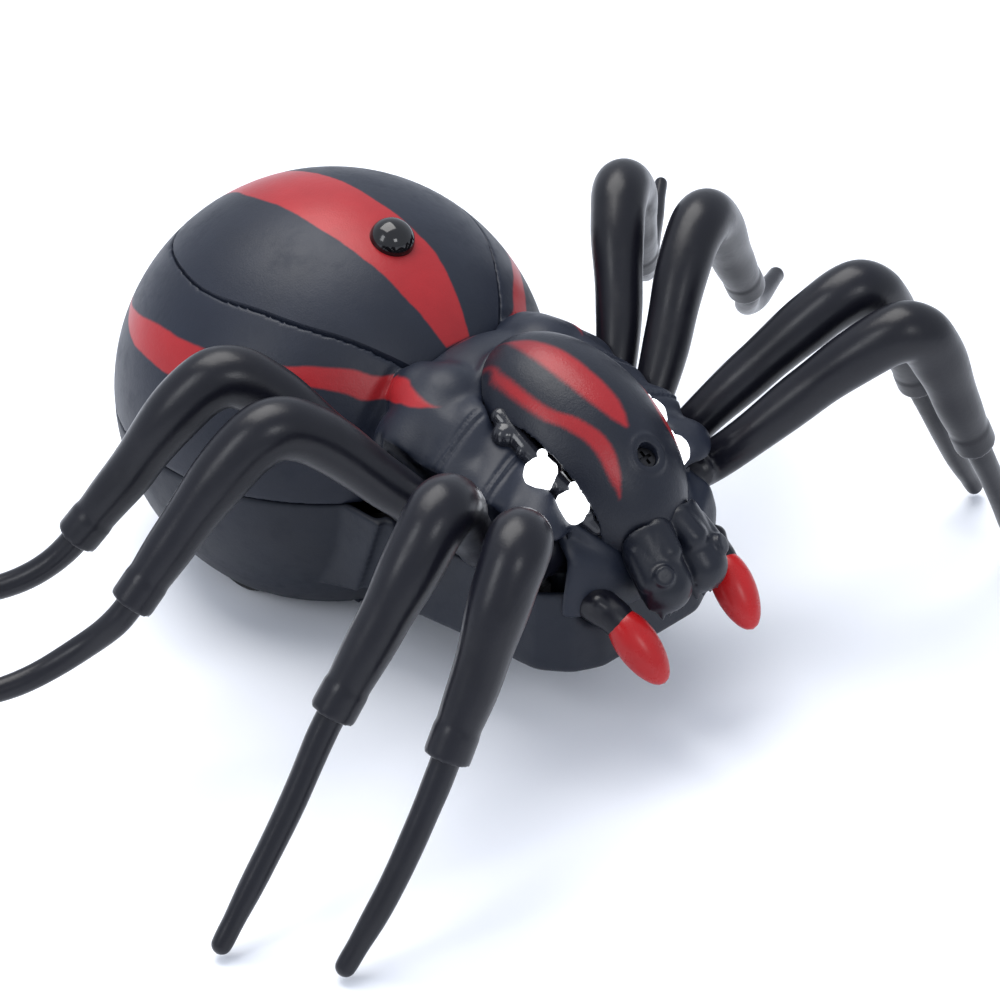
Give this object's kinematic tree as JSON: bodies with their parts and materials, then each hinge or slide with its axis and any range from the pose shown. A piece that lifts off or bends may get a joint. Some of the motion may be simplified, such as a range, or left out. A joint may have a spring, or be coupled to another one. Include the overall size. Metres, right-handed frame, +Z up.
{
  "type": "toy spider robot",
  "caption": "Rolling toy spider with a round abdomen, egg-shaped head, arched swinging legs, lit eyes and red-tipped fangs, driven by wheels hidden under the body.",
  "frame": {"origin": "centre of the bounding box on the floor under the spider", "axes": "+Z up, -Y the way the spider faces, +X the spider's left"},
  "size_m": [0.2398, 0.1602, 0.0825],
  "materials": {
    "shell_black": "satin moulded plastic with a faint orange peel",
    "leg_black": "satin moulded plastic",
    "red_paint": "glossy red paint",
    "dome_black": "polished infra-red-passing black plastic",
    "lens_clear": "clear moulded lens",
    "led": "white light-emitting diode",
    "steel": "plain steel",
    "gear_white": "natural nylon",
    "tyre_rubber": "soft rubber",
    "motor_metal": "plated motor can",
    "brass": "turned brass",
    "battery_skin": "printed metal sleeve",
    "contact_metal": "nickel-plated spring steel",
    "board": "printed circuit board"
  },
  "bodies": {
    "hull": {"lower_hull": "shell_black", "upper_shell": "shell_black", "abdomen_cover": "shell_black", "ir_window": "dome_black", "ir_receiver": "dome_black", "carapace": "shell_black", "carapace_screw": "steel", "case_screws": "steel", "eye_lens_left": "lens_clear", "eye_lens_right": "lens_clear", "eye_leds": "led", "jaw_block": "leg_black", "leg_pivot_pins": "steel", "leg_retainers": "shell_black", "gear_pins": "steel", "axle_keepers": "shell_black", "batteries": "battery_skin", "battery_contacts": "contact_metal", "pcb": "board", "pedipalp_left": "leg_black", "fang_left": "red_paint", "motor_left": "motor_metal", "pedipalp_right": "leg_black", "fang_right": "red_paint", "motor_right": "motor_metal"},
    "battery_door": {"battery_door": "shell_black"},
    "switch": {"switch_knob": "gear_white"},
    "caster": {"caster_fork": "shell_black", "caster_axle": "steel"},
    "caster_roller": {"caster_wheel": "gear_white"},
    "drive_wheel_left": {"wheel_left": "shell_black", "tyre_left": "tyre_rubber", "wheel_axle_left": "steel", "drive_gear_left": "gear_white"},
    "compound_left": {"compound_gear_left": "gear_white"},
    "pinion_left": {"motor_pinion_left": "brass"},
    "bar_left": {"swing_bar_left": "gear_white"},
    "leg1_left": {"leg1_upper_left": "leg_black", "leg1_tip_left": "leg_black"},
    "leg2_left": {"leg2_upper_left": "leg_black", "leg2_tip_left": "leg_black"},
    "leg3_left": {"leg3_upper_left": "leg_black", "leg3_tip_left": "leg_black"},
    "leg4_left": {"leg4_upper_left": "leg_black", "leg4_tip_left": "leg_black"},
    "drive_wheel_right": {"wheel_right": "shell_black", "tyre_right": "tyre_rubber", "wheel_axle_right": "steel", "drive_gear_right": "gear_white"},
    "compound_right": {"compound_gear_right": "gear_white"},
    "pinion_right": {"motor_pinion_right": "brass"},
    "bar_right": {"swing_bar_right": "gear_white"},
    "leg1_right": {"leg1_upper_right": "leg_black", "leg1_tip_right": "leg_black"},
    "leg2_right": {"leg2_upper_right": "leg_black", "leg2_tip_right": "leg_black"},
    "leg3_right": {"leg3_upper_right": "leg_black", "leg3_tip_right": "leg_black"},
    "leg4_right": {"leg4_upper_right": "leg_black", "leg4_tip_right": "leg_black"}
  },
  "joints": [
    {"name": "battery_door_lift_off", "type": "slide", "parent": "hull", "child": "battery_door", "axis": [0, 0, -1], "range_m": [0, 0.02]},
    {"name": "power_switch_slide", "type": "slide", "parent": "hull", "child": "switch", "axis": [1, 0, 0], "range_m": [0, 0.0038]},
    {"name": "caster_swivel", "type": "hinge", "parent": "hull", "child": "caster", "pos_m": [0, -0.0154, 0.016], "axis": [0, 0, 1], "continuous": true},
    {"name": "caster_roll", "type": "hinge", "parent": "caster", "child": "caster_roller", "pos_m": [0, -0.0124, 0.0062], "axis": [1, 0, 0], "continuous": true},
    {"name": "wheel_left_spin", "type": "hinge", "parent": "hull", "child": "drive_wheel_left", "pos_m": [0.0259, 0.0346, 0.0125], "axis": [1, 0, 0], "continuous": true},
    {"name": "compound_left_spin", "type": "hinge", "parent": "hull", "child": "compound_left", "pos_m": [0.019, 0.0346, 0.0215], "axis": [1, 0, 0], "continuous": true},
    {"name": "pinion_left_spin", "type": "hinge", "parent": "hull", "child": "pinion_left", "pos_m": [0.0188, 0.04261, 0.02612], "axis": [1, 0, 0], "continuous": true},
    {"name": "swing_bar_left_slide", "type": "slide", "parent": "hull", "child": "bar_left", "axis": [0, 1, 0], "range_m": [-0.0012, 0.0012]},
    {"name": "leg1_left_swing", "type": "hinge", "parent": "hull", "child": "leg1_left", "pos_m": [0.014, -0.0454, 0.041], "axis": [0, 0, 1], "range_deg": [-11.5, 11.5]},
    {"name": "leg2_left_swing", "type": "hinge", "parent": "hull", "child": "leg2_left", "pos_m": [0.014, -0.0364, 0.041], "axis": [0, 0, 1], "range_deg": [-11.5, 11.5]},
    {"name": "leg3_left_swing", "type": "hinge", "parent": "hull", "child": "leg3_left", "pos_m": [0.014, -0.0274, 0.041], "axis": [0, 0, 1], "range_deg": [-11.5, 11.5]},
    {"name": "leg4_left_swing", "type": "hinge", "parent": "hull", "child": "leg4_left", "pos_m": [0.014, -0.0184, 0.041], "axis": [0, 0, 1], "range_deg": [-11.5, 11.5]},
    {"name": "wheel_right_spin", "type": "hinge", "parent": "hull", "child": "drive_wheel_right", "pos_m": [-0.0259, 0.0346, 0.0125], "axis": [1, 0, 0], "continuous": true},
    {"name": "compound_right_spin", "type": "hinge", "parent": "hull", "child": "compound_right", "pos_m": [-0.019, 0.0346, 0.0215], "axis": [1, 0, 0], "continuous": true},
    {"name": "pinion_right_spin", "type": "hinge", "parent": "hull", "child": "pinion_right", "pos_m": [-0.0188, 0.04261, 0.02612], "axis": [1, 0, 0], "continuous": true},
    {"name": "swing_bar_right_slide", "type": "slide", "parent": "hull", "child": "bar_right", "axis": [0, 1, 0], "range_m": [-0.0012, 0.0012]},
    {"name": "leg1_right_swing", "type": "hinge", "parent": "hull", "child": "leg1_right", "pos_m": [-0.014, -0.0454, 0.041], "axis": [0, 0, 1], "range_deg": [-11.5, 11.5]},
    {"name": "leg2_right_swing", "type": "hinge", "parent": "hull", "child": "leg2_right", "pos_m": [-0.014, -0.0364, 0.041], "axis": [0, 0, 1], "range_deg": [-11.5, 11.5]},
    {"name": "leg3_right_swing", "type": "hinge", "parent": "hull", "child": "leg3_right", "pos_m": [-0.014, -0.0274, 0.041], "axis": [0, 0, 1], "range_deg": [-11.5, 11.5]},
    {"name": "leg4_right_swing", "type": "hinge", "parent": "hull", "child": "leg4_right", "pos_m": [-0.014, -0.0184, 0.041], "axis": [0, 0, 1], "range_deg": [-11.5, 11.5]}
  ],
  "couplings": [
    {"joint": "compound_left_spin", "follows": "wheel_left_spin", "ratio": -2},
    {"joint": "pinion_left_spin", "follows": "wheel_left_spin", "ratio": 6.2222},
    {"joint": "leg1_left_swing", "follows": "swing_bar_left_slide", "rad_per_m": 166.67},
    {"joint": "leg2_left_swing", "follows": "swing_bar_left_slide", "rad_per_m": 166.67},
    {"joint": "leg3_left_swing", "follows": "swing_bar_left_slide", "rad_per_m": 166.67},
    {"joint": "leg4_left_swing", "follows": "swing_bar_left_slide", "rad_per_m": 166.67},
    {"joint": "compound_right_spin", "follows": "wheel_right_spin", "ratio": -2},
    {"joint": "pinion_right_spin", "follows": "wheel_right_spin", "ratio": 6.2222},
    {"joint": "leg1_right_swing", "follows": "swing_bar_right_slide", "rad_per_m": -166.67},
    {"joint": "leg2_right_swing", "follows": "swing_bar_right_slide", "rad_per_m": -166.67},
    {"joint": "leg3_right_swing", "follows": "swing_bar_right_slide", "rad_per_m": -166.67},
    {"joint": "leg4_right_swing", "follows": "swing_bar_right_slide", "rad_per_m": -166.67}
  ]
}
